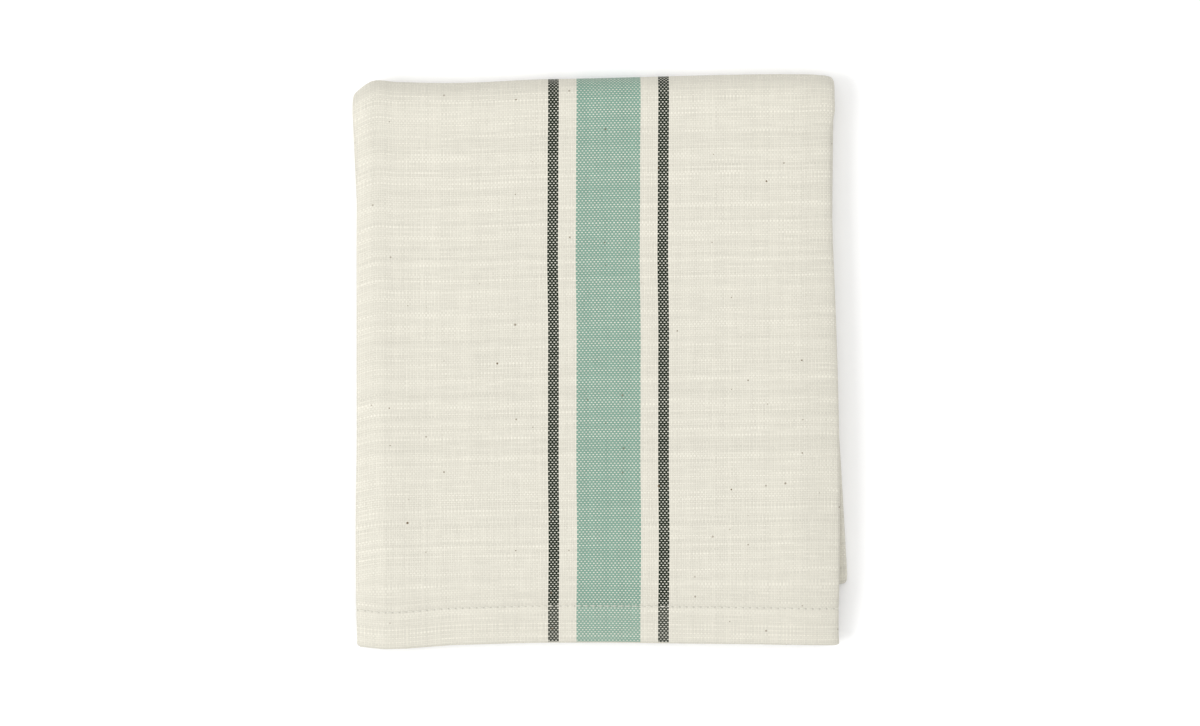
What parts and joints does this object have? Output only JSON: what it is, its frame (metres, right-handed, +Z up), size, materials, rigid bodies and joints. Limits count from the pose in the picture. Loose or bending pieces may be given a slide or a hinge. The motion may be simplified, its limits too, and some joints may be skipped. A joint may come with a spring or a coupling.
{
  "type": "folded tea towel",
  "caption": "Folded cotton tea towel with a woven stripe group down its middle and stitched hems at its ends, lying flat.",
  "frame": {"origin": "middle of the underside of the folded towel's box, on the surface that it lies on", "axes": "X across the folded width, to the right as one faces the front hem; Y along the folded length, away from the hems; Z up through the layers"},
  "size_m": [0.1622, 0.189, 0.0166],
  "materials": {
    "cotton": "plain-weave unbleached cotton with mint and dark green stripes"
  },
  "bodies": {
    "root": {"towel": "cotton"}
  },
  "joints": []
}
